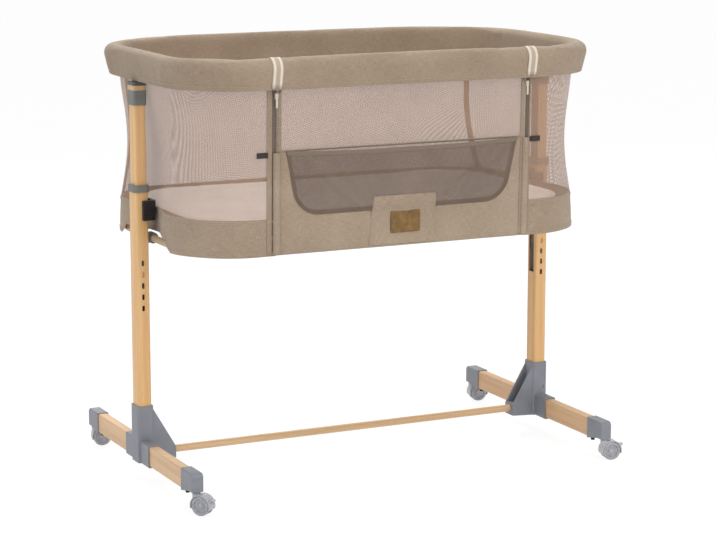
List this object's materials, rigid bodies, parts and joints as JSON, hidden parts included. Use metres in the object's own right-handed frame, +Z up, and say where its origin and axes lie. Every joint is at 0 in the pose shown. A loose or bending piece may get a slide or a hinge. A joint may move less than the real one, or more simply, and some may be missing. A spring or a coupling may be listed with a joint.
{
  "type": "bedside sleeper crib",
  "caption": "Bedside sleeper crib: a padded oval mesh basket with a zip-down front panel, held between two telescopic posts on a wheeled H-shaped base.",
  "frame": {"origin": "on the floor under the middle of the whole crib's footprint box, casters included", "axes": "+X along the crib's length towards the right-hand post, -Y towards the drop-down front panel, +Z up"},
  "size_m": [0.9566, 0.6134, 0.8546],
  "materials": {
    "grain_metal": "satin beech wood grain foil on tube",
    "pale_plastic": "moulded",
    "grey_plastic": "fine grained moulding",
    "dark_grey_plastic": "fine grained moulding",
    "grain_plastic": "satin beech wood grain foil",
    "black_plastic": "fine grained moulding",
    "black_rubber": "matte",
    "light_grey_plastic": "moulded",
    "wheel": "polyurethane tread",
    "steel_tube": "powder coated",
    "frame_tube": "powder coated",
    "board": "thin fibreboard under the mattress",
    "mattress_cover": "smooth knitted cover",
    "mesh": "open knitted mesh",
    "linen": "melange linen look weave",
    "linen_rim": "melange linen look weave over padding",
    "dark_mesh": "double knitted mesh",
    "patch_leather": "smooth",
    "webbing": "woven webbing",
    "zip_tape": "woven tape with coil teeth",
    "zip_metal": "painted die cast"
  },
  "bodies": {
    "stand": {"bumpers": "black_rubber", "crossbar": "grain_metal", "end_cap_back_left": "grey_plastic", "end_cap_back_right": "grey_plastic", "end_cap_front_left": "grey_plastic", "end_cap_front_right": "grey_plastic", "foot_rail_left": "grain_metal", "foot_rail_right": "grain_metal", "lower_post_left": "grain_metal", "lower_post_right": "grain_metal", "mouth_collar_left": "dark_grey_plastic", "mouth_collar_right": "dark_grey_plastic", "socket_left": "grey_plastic", "socket_right": "grey_plastic"},
    "carriage": {"base_board": "board", "base_frame": "frame_tube", "base_slats": "steel_tube", "border": "linen", "carrier_left": "dark_grey_plastic", "carrier_right": "dark_grey_plastic", "head_left": "grain_plastic", "head_right": "grain_plastic", "latch_block_left": "black_plastic", "latch_block_right": "black_plastic", "mast_collar_left": "dark_grey_plastic", "mast_collar_right": "dark_grey_plastic", "mast_foot_left": "pale_plastic", "mast_foot_right": "pale_plastic", "mast_left": "grain_metal", "mast_right": "grain_metal", "mattress": "mattress_cover", "mesh_wall": "mesh", "rim_cover": "linen_rim", "rim_tube": "steel_tube", "side_loops": "webbing", "straps": "webbing", "zip_tapes": "zip_tape"},
    "pedal_left": {"brake_pedal_left": "light_grey_plastic"},
    "pedal_right": {"brake_pedal_right": "light_grey_plastic"},
    "caster_back_left": {"caster_fork_back_left": "light_grey_plastic"},
    "caster_back_right": {"caster_fork_back_right": "light_grey_plastic"},
    "caster_front_left": {"caster_fork_front_left": "light_grey_plastic"},
    "caster_front_right": {"caster_fork_front_right": "light_grey_plastic"},
    "wheel_back_left": {"caster_wheel_back_left": "wheel"},
    "wheel_back_right": {"caster_wheel_back_right": "wheel"},
    "wheel_front_left": {"caster_wheel_front_left": "wheel"},
    "wheel_front_right": {"caster_wheel_front_right": "wheel"},
    "drop_panel": {"panel_border": "linen", "panel_mesh": "mesh", "patch": "patch_leather", "pocket": "dark_mesh", "tab": "linen"},
    "lever_left": {"release_lever_left": "black_plastic"},
    "lever_right": {"release_lever_right": "black_plastic"},
    "zipper_left": {"zip_slider_left": "zip_metal"},
    "zipper_right": {"zip_slider_right": "zip_metal"}
  },
  "joints": [
    {"name": "height", "type": "slide", "parent": "stand", "child": "carriage", "axis": [0, 0, -1], "range_m": [0, 0.09]},
    {"name": "release_left", "type": "slide", "parent": "carriage", "child": "lever_left", "axis": [0, 0, -1], "range_m": [0, 0.008], "stiffness_N_per_m": 400, "springref_m": -0.005},
    {"name": "release_right", "type": "slide", "parent": "carriage", "child": "lever_right", "axis": [0, 0, -1], "range_m": [0, 0.008], "stiffness_N_per_m": 400, "springref_m": -0.005},
    {"name": "swivel_front_left", "type": "hinge", "parent": "stand", "child": "caster_front_left", "pos_m": [-0.46154, -0.27225, 0.04], "axis": [0, 0, 1], "continuous": true},
    {"name": "roll_front_left", "type": "hinge", "parent": "caster_front_left", "child": "wheel_front_left", "pos_m": [-0.45371, -0.28263, 0.019], "axis": [0.7986, 0.6018, 0], "continuous": true},
    {"name": "brake_left", "type": "hinge", "parent": "caster_front_left", "child": "pedal_left", "pos_m": [-0.44192, -0.29829, 0.02967], "axis": [0.7986, 0.6018, 0], "range_deg": [0, 12]},
    {"name": "swivel_front_right", "type": "hinge", "parent": "stand", "child": "caster_front_right", "pos_m": [0.43846, -0.27225, 0.04], "axis": [0, 0, 1], "continuous": true},
    {"name": "roll_front_right", "type": "hinge", "parent": "caster_front_right", "child": "wheel_front_right", "pos_m": [0.45127, -0.27451, 0.019], "axis": [0.1736, 0.9848, 0], "continuous": true},
    {"name": "brake_right", "type": "hinge", "parent": "caster_front_right", "child": "pedal_right", "pos_m": [0.47057, -0.27791, 0.02967], "axis": [0.1736, 0.9848, 0], "range_deg": [0, 12]},
    {"name": "swivel_back_left", "type": "hinge", "parent": "stand", "child": "caster_back_left", "pos_m": [-0.46154, 0.29375, 0.04], "axis": [0, 0, 1], "continuous": true},
    {"name": "roll_back_left", "type": "hinge", "parent": "caster_back_left", "child": "wheel_back_left", "pos_m": [-0.44882, 0.29104, 0.019], "axis": [0.2079, 0.9781, 0], "continuous": true},
    {"name": "swivel_back_right", "type": "hinge", "parent": "stand", "child": "caster_back_right", "pos_m": [0.43846, 0.29375, 0.04], "axis": [0, 0, 1], "continuous": true},
    {"name": "roll_back_right", "type": "hinge", "parent": "caster_back_right", "child": "wheel_back_right", "pos_m": [0.4513, 0.29171, 0.019], "axis": [0.1564, 0.9877, 0], "continuous": true},
    {"name": "drop_side", "type": "hinge", "parent": "carriage", "child": "drop_panel", "pos_m": [-0.01154, -0.24075, 0.4745], "axis": [1, 0, 0], "range_deg": [0, 170]},
    {"name": "zip_left", "type": "slide", "parent": "carriage", "child": "zipper_left", "axis": [0, 0.0224, -0.9997], "range_m": [0, 0.28]},
    {"name": "zip_right", "type": "slide", "parent": "carriage", "child": "zipper_right", "axis": [0, 0.0224, -0.9997], "range_m": [0, 0.28]}
  ]
}
